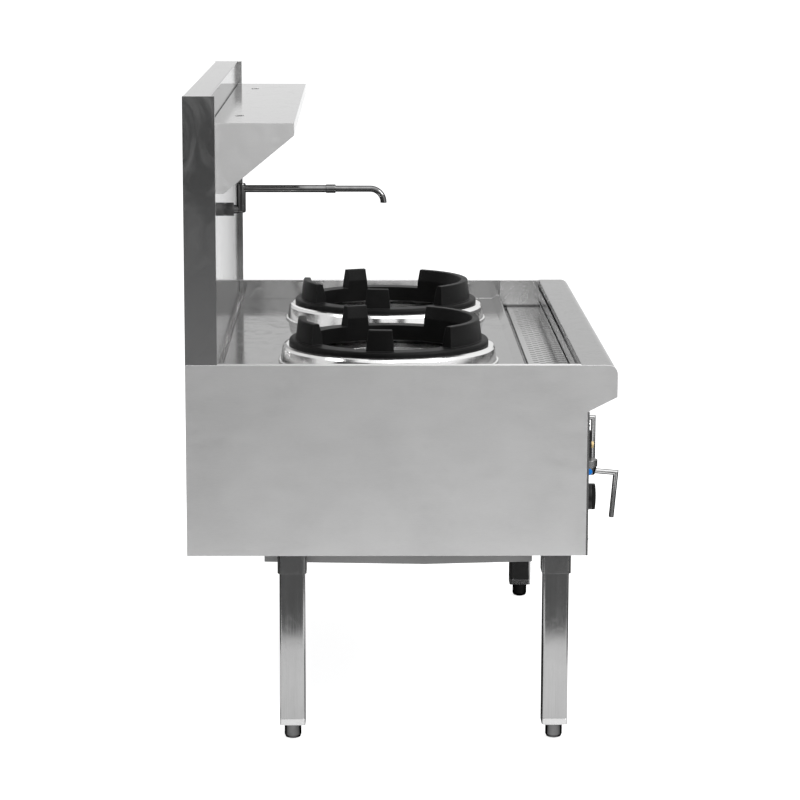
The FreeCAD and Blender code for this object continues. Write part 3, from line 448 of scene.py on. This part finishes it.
def turned_metal(name, dark, light, roughness, scratch_depth=0.000012, flank=1.0):
    """Plated or turned fitting: fine marks all round, small stains, corners painted bright as a painted
    highlight.

    flank dims the sides that turn away from the eye; their colour is painted dark there as a painted dark
    reflection.
    """
    material, tree, shader, where = new_finish(name)
    shader.inputs["Metallic"].default_value = 1.0
    shader.inputs["Specular Tint"].default_value = (flank, flank, flank, 1)
    scratch = use(tree, brushing, where, Grain=(260, 260, 900))["Scratch"]
    drift = use(tree, clouding, where, Size=30.0, Contrast=0.22)["Cloud"]
    edges = use(tree, soft_edges, Radius=0.0006, Spread=4.0)
    base = tone_between(tree, drift, dark, light)
    # Painted highlight: corners painted lighter than the metal.
    corner_highlighted = tone_between(tree, times(tree, edges["Edge"], 0.7), base, lighter(light, 1.25, 0.0, 0.97))
    # Painted dark reflection: the colour darkens on the sides turned away from the eye.
    turned_away = add(tree, "ShaderNodeLayerWeight").outputs["Facing"]
    painted_side_shade = remap(tree, turned_away, 0.04, 0.45, 0.0, 1.0)
    feed(tree, shader.inputs["Base Color"],
         tone_between(tree, painted_side_shade, corner_highlighted, tuple(part * flank for part in dark)))
    gloss = remap(tree, drift, 0.0, 1.0, *roughness)
    feed(tree, shader.inputs["Roughness"], plus(tree, gloss, times(tree, scratch, 0.06)))
    relief(tree, shader, scratch, edges, scratch_depth)
    return material


def moulded_plastic(name, dark, light, roughness):
    """Moulded handle plastic: spark-eroded texture, edges polished by hands to more gloss, and painted
    lighter there as a painted highlight.
    """
    material, tree, shader, where = new_finish(name)
    shader.inputs["Specular IOR Level"].default_value = 0.3
    skin = use(tree, cast_skin, where, Grain=1400.0)
    drift = use(tree, clouding, where, Size=40.0, Contrast=0.25)["Cloud"]
    edges = use(tree, soft_edges, Radius=0.0012, Spread=3.0)
    base = tone_between(tree, drift, dark, light)
    # Painted highlight: edges painted lighter; the lower roughness below is their real polish.
    edge_highlight_base = tone_between(tree, times(tree, edges["Edge"], 0.4), base, lighter(light, 1.6, 0.02, 0.9))
    feed(tree, shader.inputs["Base Color"], edge_highlight_base)
    gloss = remap(tree, drift, 0.0, 1.0, *roughness)
    feed(tree, shader.inputs["Roughness"], minus(tree, gloss, times(tree, edges["Edge"], 0.15)))
    relief(tree, shader, skin["Height"], edges, 0.00003)
    return material


# ---- finishes for the frame's own pieces -----------------------------------------------------
along_x = (35, 1400, 1400)
along_y = (1400, 35, 1400)
upright = (1400, 1400, 30)

# edge_gain below 1 paints the folded edges darker as painted shade (splash, shelf, shelf end, gutter,
# strainer slots, legs, sockets); above 1 it paints them lighter as a painted highlight.
sheets = {
    "panel_steel": dict(dark=0.57, light=0.71, grain=(420, 80, 420), roughness=(0.48, 0.58),
                        scratch_depth=0.00004, cloud_size=7.0, drift_share=0.15),
    "fascia_steel": dict(dark=0.40, light=0.48, grain=along_x, roughness=(0.14, 0.20),
                         scratch_depth=0.00001, cloud_size=5.0),
    "rail_steel": dict(dark=0.44, light=0.54, grain=along_x, roughness=(0.14, 0.20),
                       scratch_depth=0.00001, cloud_size=6.0, smear=0.1, slant=0.66),
    "deck_steel": dict(dark=0.48, light=0.55, grain=along_x, roughness=(0.05, 0.09),
                       scratch_depth=0.000004, cloud_size=5.0, smear=0.12, slant=0.62),
    "splash_steel": dict(dark=0.72, light=0.80, grain=along_x, roughness=(0.06, 0.10),
                         scratch_depth=0.000004, cloud_size=5.0, smear=0.05, edge_gain=0.7, slant=0.58),
    "post_steel": dict(dark=0.38, light=0.54, grain=along_x, roughness=(0.08, 0.13),
                       scratch_depth=0.000006, cloud_size=3.0, smear=0.1, slant=0.8),
    "shelf_steel": dict(dark=0.56, light=0.66, grain=along_x, roughness=(0.05, 0.09),
                        scratch_depth=0.000004, cloud_size=6.0, smear=0.08, edge_radius=0.0014,
                        edge_gain=0.2, slant=0.7),
    "shelf_end_steel": dict(dark=0.68, light=0.76, grain=along_y, roughness=(0.46, 0.56),
                            scratch_depth=0.00002, cloud_size=9.0, smear=0.1, edge_gain=0.5),
    # The gutter is painted nearly black below 0.672 m, a painted shade for the trough under the strainer.
    "gutter_steel": dict(dark=0.80, light=0.88, grain=along_x, roughness=(0.14, 0.22),
                         scratch_depth=0.00001, cloud_size=9.0, smear=0.1, edge_gain=0.7, slant=0.8,
                         unshaded_above=0.672),
    "strainer_steel": dict(dark=0.60, light=0.68, grain=along_x, roughness=(0.12, 0.18),
                           scratch_depth=0.000004, cloud_size=9.0, edge_radius=0.0012, edge_gain=0.05,
                           slant=0.66),
    "collar_steel": dict(dark=0.84, light=0.90, grain=(700, 700, 700), roughness=(0.12, 0.18),
                         scratch_depth=0.000008, cloud_size=8.0, edge_gain=1.0, slant=0.85),
    "pan_steel": dict(dark=0.28, light=0.36, grain=along_x, roughness=(0.30, 0.42),
                      scratch_depth=0.00002, cloud_size=8.0),
    "leg_steel": dict(dark=0.23, light=0.37, grain=(520, 520, 10), roughness=(0.07, 0.12),
                      scratch_depth=0.00001, cloud_size=9.0, smear=0.05, edge_gain=0.2, slant=0.6),
    "socket_steel": dict(dark=0.24, light=0.36, grain=(240, 240, 90), roughness=(0.12, 0.20),
                         scratch_depth=0.00001, cloud_size=9.0, edge_gain=0.5, slant=0.6),
    "plug_steel": dict(dark=0.46, light=0.56, grain=along_x, roughness=(0.20, 0.30),
                       scratch_depth=0.00002, cloud_size=14.0),
    "drain_steel": dict(dark=0.40, light=0.50, grain=upright, roughness=(0.26, 0.38),
                        scratch_depth=0.00002, cloud_size=14.0),
}
fittings = {
    "screw_steel": dict(dark=grey(0.5), light=grey(0.68), roughness=(0.2, 0.3)),
    "foot_steel": dict(dark=grey(0.09), light=grey(0.15), roughness=(0.10, 0.16), flank=0.2),
    "pilot_steel": dict(dark=grey(0.42), light=grey(0.55), roughness=(0.26, 0.38)),
    # Far darker than real chrome: painted shade for the tap under the shelf and a painted dark reflection.
    "tap_chrome": dict(dark=grey(0.15), light=grey(0.24), roughness=(0.05, 0.10),
                       scratch_depth=0.000003, flank=0.15),
    "valve_chrome": dict(dark=grey(0.62), light=grey(0.74), roughness=(0.10, 0.16),
                         scratch_depth=0.000004, flank=0.5),
    "lever_chrome": dict(dark=grey(0.50), light=grey(0.62), roughness=(0.06, 0.11),
                         scratch_depth=0.000003, flank=0.12),
    "valve_brass": dict(dark=(0.55, 0.42, 0.20), light=(0.70, 0.54, 0.28), roughness=(0.24, 0.36)),
    "nut_brass": dict(dark=(0.56, 0.43, 0.21), light=(0.72, 0.56, 0.30), roughness=(0.22, 0.34)),
    "jet_brass": dict(dark=(0.50, 0.36, 0.16), light=(0.66, 0.50, 0.24), roughness=(0.26, 0.40)),
    "copper_pipe": dict(dark=(0.62, 0.32, 0.20), light=(0.76, 0.42, 0.28), roughness=(0.24, 0.38)),
}
castings = {
    "ring_iron": dict(dark=0.003, light=0.007, roughness=(0.42, 0.54), grain=520.0, depth=0.00025,
                      metallic=0.0, edge_tone=0.035, gloss_level=0.08),
    "head_iron": dict(dark=0.035, light=0.055, roughness=(0.55, 0.7), grain=520.0, depth=0.0003),
    "rail_iron": dict(dark=0.05, light=0.08, roughness=(0.5, 0.65), grain=300.0, depth=0.0001,
                      edge_tone=0.2),
    "gas_pipe": dict(dark=0.09, light=0.13, roughness=(0.45, 0.6), grain=400.0, depth=0.00008,
                     metallic=0.7, edge_tone=0.3),
    "well_lining": dict(dark=0.16, light=0.26, roughness=(0.8, 0.92), grain=240.0, depth=0.0006,
                        metallic=0.0, edge_tone=0.36),
}
plastics = {
    "knob_black": dict(dark=grey(0.004), light=grey(0.008), roughness=(0.30, 0.42)),
    "handle_black": dict(dark=grey(0.009), light=grey(0.016), roughness=(0.34, 0.46)),
    "index_blue": dict(dark=(0.004, 0.16, 0.62), light=(0.008, 0.22, 0.72), roughness=(0.25, 0.35)),
}
makers = ((sheet_steel, sheets), (turned_metal, fittings), (cast_iron, castings),
          (moulded_plastic, plastics))
finishes = {name: maker(name, **settings) for maker, table in makers for name, settings in table.items()}

for part in frame["record"]["subparts"]:
    finish = finishes["fascia_steel" if part["node"] == "control_panel" else part["material_slot"]]
    for holder in nodes[part["node"]].material_slots:
        holder.material = finish


# ---- pieces drawn closer to the photograph than their solids ---------------------------------
def tube(sheet, stations, segments=48):
    """Closed skin through rings, each given by its centre and the two arms of its ellipse."""
    last = None
    for index, (centre, arm, other) in enumerate(stations):
        shape = Matrix((arm, other, Vector(arm).cross(Vector(other)))).transposed().to_4x4()
        shape.translation = centre
        at_end = index in (0, len(stations) - 1)
        ring = bmesh.ops.create_circle(sheet, segments=segments, radius=1, cap_ends=at_end, matrix=shape)
        rim = list(dict.fromkeys(edge for vert in ring["verts"] for edge in vert.link_edges))
        if last:
            bmesh.ops.bridge_loops(sheet, edges=last + rim)
        last = rim


def upright_ring(x, y, z, radius):
    return (Vector((x, y, z)), (radius, 0, 0), (0, radius, 0))


def forward_ring(x, y, z, radius):
    return (Vector((x, y, z)), (radius, 0, 0), (0, 0, radius))


def into_scene(name, sheet, node, body, slot):
    """Takes the place of one of the frame's nodes and moves with its body."""
    sharp_angle = 32
    bmesh.ops.recalc_face_normals(sheet, faces=sheet.faces)
    piece = object_from(name, sheet)
    piece.data.shade_smooth()
    piece.data.set_sharp_from_angle(angle=math.radians(sharp_angle))
    piece.data.materials.append(finishes[slot])
    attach(piece, body)
    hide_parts(node)


chamfer = 0.0008

lever_y = -0.376
arm_height = 0.4655
hub_top = 0.4742
hub_shoulder = 0.004
hub_foot = 0.4575
hub_radius = 0.015
hub_foot_radius = 0.012
rod_start = 0.008
rod_radius = 0.0051
rod_drop = 0.0905
rod_tip_share = 0.84


def mitred_lever(name, node, body, x, reach, droop):
    """Hub with a chrome rod cut and joined at a sharp corner; the arm droops by some degrees."""
    sheet = bmesh.new()
    pivot = Vector((x, lever_y, arm_height))
    corner = pivot - Vector((0, reach, 0))
    foot = corner - Vector((0, 0, rod_drop))
    across = Vector((rod_radius, 0, 0))
    up = Vector((0, 0, rod_radius))
    out = Vector((0, -rod_radius, 0))
    tube(sheet, [(pivot - Vector((0, rod_start, 0)), across, up),
                 (corner, across, up + out),
                 (foot + Vector((0, 0, chamfer)), across, out),
                 (foot, across * rod_tip_share, out * rod_tip_share)])
    fall = Matrix.Rotation(math.radians(droop), 3, "X")
    bmesh.ops.rotate(sheet, verts=sheet.verts, cent=pivot, matrix=fall)
    tube(sheet, [upright_ring(x, lever_y, hub_foot, hub_foot_radius - chamfer),
                 upright_ring(x, lever_y, hub_foot + chamfer, hub_foot_radius),
                 upright_ring(x, lever_y, hub_top - hub_shoulder, hub_radius),
                 upright_ring(x, lever_y, hub_top, hub_radius)])
    into_scene(name, sheet, node, body, "lever_chrome")


fascia_face = -0.349
knob_height = 0.445
knob_radius = 0.0252
knob_gap = 0.001
knob_length = 0.028
knob_crown = 0.0017
knob_segments = 64
bar_depth = 0.009
bar_half = 0.006
bar_seat = 0.002
bar_slices = 7
slice_height = 0.0031
bar_round = 0.0009
corner_turn = 0.9


def finger_knob(name, node, body, x):
    """Drum with a finger bar whose front is slightly crowned."""
    sheet = bmesh.new()
    drum_back = fascia_face - knob_gap
    bar_floor = fascia_face - knob_length + bar_depth
    tube(sheet, [forward_ring(x, drum_back, knob_height, knob_radius - chamfer),
                 forward_ring(x, drum_back - chamfer, knob_height, knob_radius),
                 forward_ring(x, bar_floor + chamfer, knob_height, knob_radius),
                 forward_ring(x, bar_floor, knob_height, knob_radius - chamfer)], knob_segments)
    bar = bmesh.new()
    upended = Matrix.Rotation(math.radians(90), 4, "X")
    seat = Matrix.Translation((x, bar_floor + bar_seat, knob_height)) @ upended
    bmesh.ops.create_circle(bar, segments=knob_segments, radius=knob_radius, cap_ends=True, matrix=seat)
    for side in (-1, 1):
        bmesh.ops.bisect_plane(bar, geom=bar.verts[:] + bar.edges[:] + bar.faces[:], clear_outer=True,
                               plane_co=(x + side * bar_half, 0, 0), plane_no=(side, 0, 0))
    for step in range(-bar_slices, bar_slices + 1):
        bmesh.ops.bisect_plane(bar, geom=bar.verts[:] + bar.edges[:] + bar.faces[:],
                               plane_co=(0, 0, knob_height + step * slice_height), plane_no=(0, 0, 1))
    risen = bmesh.ops.extrude_face_region(bar, geom=bar.faces[:])["geom"]
    for vert in risen:
        if isinstance(vert, bmesh.types.BMVert):
            rise = (vert.co.z - knob_height) / knob_radius
            vert.co.y = fascia_face - knob_length + knob_crown * rise * rise
    bmesh.ops.recalc_face_normals(bar, faces=bar.faces)
    rim = [edge for edge in bar.edges if edge.is_manifold and edge.calc_face_angle() > corner_turn]
    bmesh.ops.bevel(bar, geom=rim, offset=bar_round, offset_type="OFFSET", segments=3, profile=0.5,
                    affect="EDGES", material=-1)
    part_mesh = bpy.data.meshes.new(name + "_bar")
    bar.to_mesh(part_mesh)
    bar.free()
    sheet.from_mesh(part_mesh)
    bpy.data.meshes.remove(part_mesh)
    into_scene(name, sheet, node, body, "knob_black")


mitred_lever("lever_rod_left", "lever_left", "lever_left_body", x=-0.286, reach=0.054, droop=5)
mitred_lever("lever_rod_right", "lever_right", "lever_right_body", x=0.286, reach=0.0588, droop=0)
finger_knob("knob_left", "pilot_knob_left", "knob_left_body", x=-0.436)
finger_knob("knob_right", "pilot_knob_right", "knob_right_body", x=0.136)

# ---- the studio ------------------------------------------------------------------------------
photo_camera()
studio_world()
studio_floor()
softbox("top_light", (-0.6, -0.4, 4.4), (0, 0, 0.7), size=(4.5, 4.5), watts=105)
softbox("front_light", (-2.4, -3.0, 3.3), (-0.4, -0.2, 0.7), size=(1.8, 1.6), watts=130)

board_top = 0.001
boards = {
    "board_near": ((-4.0, -9.0, 0), (-1.33, 9.0, board_top), 0.13),
    "board_far": ((-9.0, -9.0, 0), (-4.0, 9.0, board_top), 0.27),
    "board_back": ((1.3, -9.0, 0), (2.6, 9.0, board_top), 0.08),
    "board_right": ((-1.28, -9.0, 0), (1.3, -0.85, board_top), 0.08),
    "board_left": ((-1.28, 0.85, 0), (1.3, 9.0, board_top), 0.08),
    # Painted shade: a near-black board under the range, seen only in the metal, stands in for the shadow
    # on the floor beneath it.
    "shade_board_under": ((-0.55, -0.42, 0), (1.3, 0.42, board_top), 0.01),
    "wall_front": ((-9.1, -4.0, 0), (-9.0, 5.0, 1.2), 0.16),
    "wall_back": ((2.7, 0.236, 0), (2.72, 0.7, 1.0), 0.03),
    "wall_near_left": ((-3.6, 1.25, 0), (-0.75, 1.27, 2.4), 0.05),
    "wall_left": ((-8.0, 4.9, 0), (1.0, 5.0, 2.8), 0.08),
}
for name, (low, high, tone) in boards.items():
    dark_board(name, low, high, tone)
